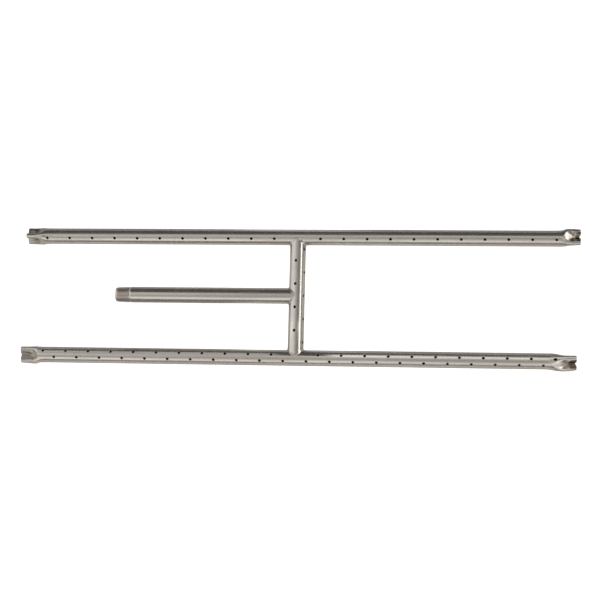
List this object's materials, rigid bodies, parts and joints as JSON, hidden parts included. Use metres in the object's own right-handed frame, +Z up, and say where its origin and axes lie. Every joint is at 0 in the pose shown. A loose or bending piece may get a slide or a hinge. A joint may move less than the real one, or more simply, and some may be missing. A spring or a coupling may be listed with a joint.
{
  "type": "gas burner",
  "caption": "H-shaped stainless gas burner: two long drilled tubes with folded ends, a drilled cross tube and a threaded inlet pipe, welded together.",
  "frame": {"origin": "under the middle of the cross tube, on the surface that the tubes lie on", "axes": "+X along the two long bars, the inlet leaves towards -X; +Y from the two-row bar to the one-row bar; +Z up, the way the flame ports face"},
  "size_m": [0.6095, 0.1531, 0.0189],
  "materials": {
    "tube_steel": "mill-polished stainless tube with faint lengthwise streaks, straw tint by the welds and folds",
    "weld_metal": "as-welded stainless bead, wire-brushed, rippled"
  },
  "bodies": {
    "root": {"front_bar": "tube_steel", "rear_bar": "tube_steel", "cross_tube": "tube_steel", "inlet_pipe": "tube_steel", "front_joint_weld": "weld_metal", "rear_joint_weld": "weld_metal", "inlet_joint_weld": "weld_metal", "front_left_end_weld": "weld_metal", "front_right_end_weld": "weld_metal", "rear_left_end_weld": "weld_metal", "rear_right_end_weld": "weld_metal"}
  },
  "joints": []
}
